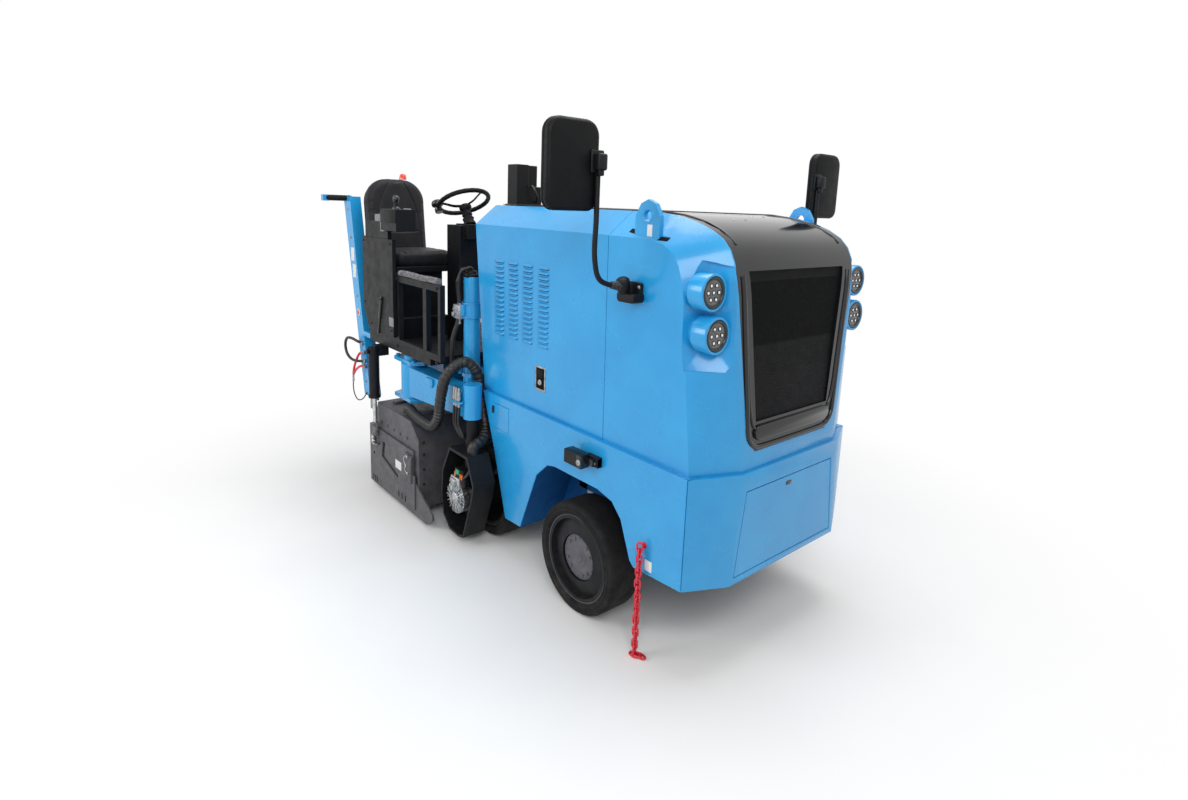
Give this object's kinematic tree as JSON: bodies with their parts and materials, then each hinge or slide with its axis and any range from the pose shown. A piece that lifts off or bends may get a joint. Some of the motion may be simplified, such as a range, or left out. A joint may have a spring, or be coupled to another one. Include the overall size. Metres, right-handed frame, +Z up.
{
  "type": "cold planer milling machine",
  "caption": "Compact battery cold planer: wheeled frame, long hood with grille and mirrors, raised driver stand, swung-in wheel beside a low milling drum housing.",
  "frame": {"origin": "middle of the overall length and width, on the floor under the tyres", "axes": "+X forward to the grille end, +Y the machine's left, +Z up"},
  "size_m": [3.424, 2.15, 2.394],
  "materials": {
    "sky_blue_paint": "gloss sky-blue paint",
    "gloss_black_paint": "gloss black paint",
    "satin_black_paint": "satin black paint",
    "dark_steel_paint": "matt dark grey primer",
    "black_plastic": "grained black moulding",
    "lamp_glass_plastic": "black lamp body with a clear lens",
    "solid_tyre": "worn solid rubber",
    "seat_vinyl": "black vinyl",
    "rubber_sheath": "ribbed black sheath",
    "motor_aluminium": "cast and finned",
    "bright_steel": "hard-chromed rod",
    "drum_steel": "worn steel with picks",
    "red_paint": "red chain"
  },
  "bodies": {
    "machine": {"chassis_frame": "dark_steel_paint", "side_skirt_right": "sky_blue_paint", "side_skirt_left": "sky_blue_paint", "front_shell": "sky_blue_paint", "front_hood": "sky_blue_paint", "top_cover": "gloss_black_paint", "grille_mesh": "satin_black_paint", "headlamps_right": "lamp_glass_plastic", "headlamps_left": "lamp_glass_plastic", "battery_block": "dark_steel_paint", "rear_bulkhead": "sky_blue_paint", "mirror_bracket_right": "satin_black_paint", "mirror_bracket_left": "satin_black_paint", "rear_frame": "sky_blue_paint", "swing_arm": "sky_blue_paint", "wheel_leg": "satin_black_paint", "wheel_motor": "motor_aluminium", "motor_guard": "satin_black_paint", "lifting_column": "sky_blue_paint", "rear_left_column": "satin_black_paint", "drum_housing": "satin_black_paint", "lift_cylinder": "satin_black_paint", "platform": "satin_black_paint", "side_shield": "satin_black_paint", "rear_post": "sky_blue_paint", "seat_base": "satin_black_paint", "seat_cushion": "seat_vinyl", "seat_backrest": "seat_vinyl", "armrest_console": "satin_black_paint", "steering_column": "satin_black_paint", "hose_loop": "rubber_sheath", "roof_box": "black_plastic", "skirt_lamp": "black_plastic", "tie_chain": "red_paint"},
    "front_right_knuckle": {"steering_knuckle_right": "dark_steel_paint"},
    "front_left_knuckle": {"steering_knuckle_left": "dark_steel_paint"},
    "front_right_wheel": {"front_tyre_right": "solid_tyre", "front_rim_right": "satin_black_paint"},
    "front_left_wheel": {"front_tyre_left": "solid_tyre", "front_rim_left": "satin_black_paint"},
    "rear_right_wheel": {"rear_tyre_right": "solid_tyre", "rear_rim_right": "satin_black_paint"},
    "rear_left_wheel": {"rear_tyre_left": "solid_tyre", "rear_rim_left": "satin_black_paint"},
    "milling_drum": {"milling_drum": "drum_steel"},
    "floating_side_plate": {"side_plate": "satin_black_paint", "cylinder_rod": "bright_steel"},
    "rear_scraper": {"scraper_blade": "satin_black_paint"},
    "right_side_door": {"side_door_right": "sky_blue_paint"},
    "left_side_door": {"side_door_left": "sky_blue_paint"},
    "nose_door": {"front_door": "sky_blue_paint"},
    "small_flap": {"skirt_flap": "sky_blue_paint"},
    "right_mirror": {"mirror_right": "black_plastic"},
    "left_mirror": {"mirror_left": "black_plastic"},
    "steering_hand_wheel": {"steering_wheel": "black_plastic"}
  },
  "joints": [
    {"name": "front_right_steer", "type": "hinge", "parent": "machine", "child": "front_right_knuckle", "pos_m": [0.94, -0.44, 0.29], "axis": [0, 0, 1], "range_deg": [-30, 30]},
    {"name": "front_left_steer", "type": "hinge", "parent": "machine", "child": "front_left_knuckle", "pos_m": [0.94, 0.44, 0.29], "axis": [0, 0, 1], "range_deg": [-30, 30]},
    {"name": "front_right_wheel_spin", "type": "hinge", "parent": "front_right_knuckle", "child": "front_right_wheel", "pos_m": [0.94, -0.572, 0.29], "axis": [0, 1, 0], "continuous": true},
    {"name": "front_left_wheel_spin", "type": "hinge", "parent": "front_left_knuckle", "child": "front_left_wheel", "pos_m": [0.94, 0.572, 0.29], "axis": [0, 1, 0], "continuous": true},
    {"name": "rear_right_wheel_spin", "type": "hinge", "parent": "machine", "child": "rear_right_wheel", "pos_m": [-0.038, -0.488, 0.29], "axis": [0, 1, 0], "continuous": true},
    {"name": "rear_left_wheel_spin", "type": "hinge", "parent": "machine", "child": "rear_left_wheel", "pos_m": [-0.748, 0.52, 0.29], "axis": [0, 1, 0], "continuous": true},
    {"name": "drum_spin", "type": "hinge", "parent": "machine", "child": "milling_drum", "pos_m": [-0.788, -0.586, 0.268], "axis": [0, 1, 0], "continuous": true},
    {"name": "side_plate_lift", "type": "slide", "parent": "machine", "child": "floating_side_plate", "axis": [0, 0, 1], "range_m": [0, 0.18]},
    {"name": "scraper_swing", "type": "hinge", "parent": "machine", "child": "rear_scraper", "pos_m": [-1.153, -0.56, 0.415], "axis": [0, 1, 0], "range_deg": [0, 100]},
    {"name": "right_side_door_lift", "type": "hinge", "parent": "machine", "child": "right_side_door", "pos_m": [0.452, -0.461, 2.035], "axis": [-1, 0, 0], "range_deg": [0, 60]},
    {"name": "left_side_door_lift", "type": "hinge", "parent": "machine", "child": "left_side_door", "pos_m": [0.452, 0.461, 2.035], "axis": [1, 0, 0], "range_deg": [0, 60]},
    {"name": "nose_door_drop", "type": "hinge", "parent": "machine", "child": "nose_door", "pos_m": [1.711, 0, 0.459], "axis": [0, 1, 0], "range_deg": [0, 90]},
    {"name": "small_flap_swing", "type": "hinge", "parent": "machine", "child": "small_flap", "pos_m": [0.256, -0.626, 0.816], "axis": [0, 0, 1], "range_deg": [0, 100]},
    {"name": "right_mirror_fold", "type": "hinge", "parent": "machine", "child": "right_mirror", "pos_m": [1.212, -0.668, 1.7], "axis": [0, 0, 1], "range_deg": [-10, 90]},
    {"name": "left_mirror_fold", "type": "hinge", "parent": "machine", "child": "left_mirror", "pos_m": [1.212, 0.668, 1.7], "axis": [0, 0, -1], "range_deg": [-10, 90]},
    {"name": "steering_wheel_turn", "type": "hinge", "parent": "machine", "child": "steering_hand_wheel", "pos_m": [-0.748, -0.35, 2.045], "axis": [-0.4695, 0, 0.8829], "continuous": true}
  ],
  "couplings": [
    {"joint": "front_left_steer", "follows": "front_right_steer", "ratio": 1}
  ]
}
